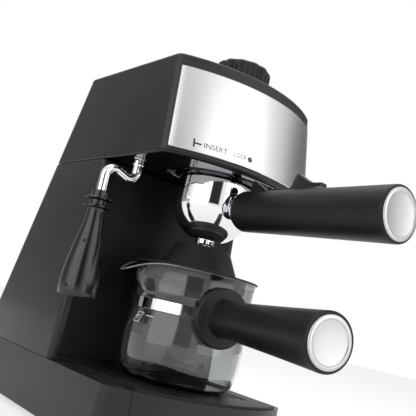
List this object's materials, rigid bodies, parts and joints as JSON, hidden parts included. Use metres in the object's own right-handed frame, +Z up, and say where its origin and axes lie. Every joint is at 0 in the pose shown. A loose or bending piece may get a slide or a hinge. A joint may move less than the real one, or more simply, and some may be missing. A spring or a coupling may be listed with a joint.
{
  "type": "espresso machine",
  "caption": "Small steam-pressure espresso machine with a bowed steel front, locking portafilter, glass carafe, swinging steam wand and slide-out drip tray.",
  "frame": {"origin": "on the counter, straight below the brew axis", "axes": "+Z up, the front of the machine faces -Y, +X to the right seen from the front"},
  "size_m": [0.2001, 0.3895, 0.305],
  "materials": {
    "black_plastic": "satin",
    "base_plastic": "satin",
    "panel_steel": "brushed",
    "bright_chrome": "polished",
    "cast_alloy": "satin",
    "boiler_alloy": "satin",
    "stainless": "satin",
    "zinc_steel": "satin",
    "silver_satin": "satin",
    "handle_black": "satin",
    "guard_black": "gloss",
    "sleeve_black": "gloss",
    "lid_black": "matte",
    "jug_glass": "clear",
    "foot_rubber": "matte",
    "seal_rubber": "matte",
    "valve_brass": "satin",
    "lamp_red": "gloss",
    "terminal_white": "matte",
    "wire_sheath": "matte"
  },
  "bodies": {
    "machine": {"base_shell": "base_plastic", "base_plate": "base_plastic", "rubber_feet": "foot_rubber", "base_screws": "zinc_steel", "column_shell": "black_plastic", "cord_gland": "black_plastic", "terminal_block": "terminal_white", "wiring_loom": "wire_sheath", "head_housing": "black_plastic", "head_underside": "black_plastic", "front_panel": "panel_steel", "top_cover": "black_plastic", "indicator_lamp": "lamp_red", "housing_screws": "zinc_steel", "brew_head": "cast_alloy", "boiler": "boiler_alloy", "heating_element": "stainless", "thermostat": "zinc_steel", "thermal_fuse": "terminal_white", "group_gasket": "seal_rubber", "shower_screen": "stainless", "screen_screw": "stainless", "steam_valve": "valve_brass", "steam_pipe": "stainless", "valve_inlet_pipe": "stainless", "wand_nut": "bright_chrome"},
    "tray": {"drip_tray": "black_plastic", "drip_grid": "black_plastic"},
    "carafe": {"carafe_glass": "jug_glass", "carafe_band": "bright_chrome", "carafe_handle": "handle_black", "carafe_handle_cap": "silver_satin", "carafe_handle_bolt": "zinc_steel"},
    "carafe_cover": {"carafe_lid": "lid_black"},
    "portafilter": {"portafilter_bowl": "bright_chrome", "portafilter_spout": "bright_chrome", "handle_ferrule": "bright_chrome", "portafilter_handle": "handle_black", "handle_end_cap": "silver_satin", "handle_bolt": "zinc_steel", "filter_basket": "stainless", "guard_pin": "zinc_steel"},
    "guard": {"thumb_guard": "guard_black"},
    "wand": {"steam_wand": "bright_chrome"},
    "sleeve": {"frothing_sleeve": "sleeve_black"},
    "knob": {"control_knob": "black_plastic", "knob_pointer": "silver_satin", "valve_stem": "valve_brass"},
    "cap_seal": {"cap_plug": "cast_alloy"},
    "cap": {"boiler_cap": "black_plastic"}
  },
  "joints": [
    {"name": "tray_slide", "type": "slide", "parent": "machine", "child": "tray", "axis": [0, -1, 0], "range_m": [0, 0.09]},
    {"name": "carafe_slide", "type": "slide", "parent": "machine", "child": "carafe", "axis": [0, -1, 0], "range_m": [0, 0.12]},
    {"name": "lid_twist", "type": "hinge", "parent": "carafe", "child": "carafe_cover", "pos_m": [0, 0, 0.131], "axis": [0, 0, 1], "range_deg": [0, 90]},
    {"name": "portafilter_lock", "type": "hinge", "parent": "machine", "child": "portafilter", "pos_m": [0, 0, 0.209], "axis": [0, 0, 1], "range_deg": [-45, 0]},
    {"name": "guard_lift", "type": "hinge", "parent": "portafilter", "child": "guard", "pos_m": [0, -0.052, 0.2], "axis": [1, 0, 0], "range_deg": [-9, 0]},
    {"name": "wand_swing", "type": "hinge", "parent": "machine", "child": "wand", "pos_m": [-0.0635, 0.02, 0.205], "axis": [0, 0, 1], "range_deg": [0, 40]},
    {"name": "sleeve_slide", "type": "slide", "parent": "wand", "child": "sleeve", "axis": [0.0262, 0, -0.9997], "range_m": [0, 0.02]},
    {"name": "steam_knob_turn", "type": "hinge", "parent": "machine", "child": "knob", "pos_m": [0.0749, 0.036, 0.25], "axis": [1, 0, 0], "range_deg": [0, 270]},
    {"name": "cap_rise", "type": "slide", "parent": "machine", "child": "cap_seal", "axis": [0, 0, 1], "range_m": [0, 0.003]},
    {"name": "cap_turn", "type": "hinge", "parent": "cap_seal", "child": "cap", "pos_m": [0, 0, 0.29], "axis": [0, 0, 1], "range_deg": [0, 360]}
  ],
  "couplings": [
    {"joint": "cap_rise", "follows": "cap_turn", "m_per_rad": 0.000477}
  ]
}
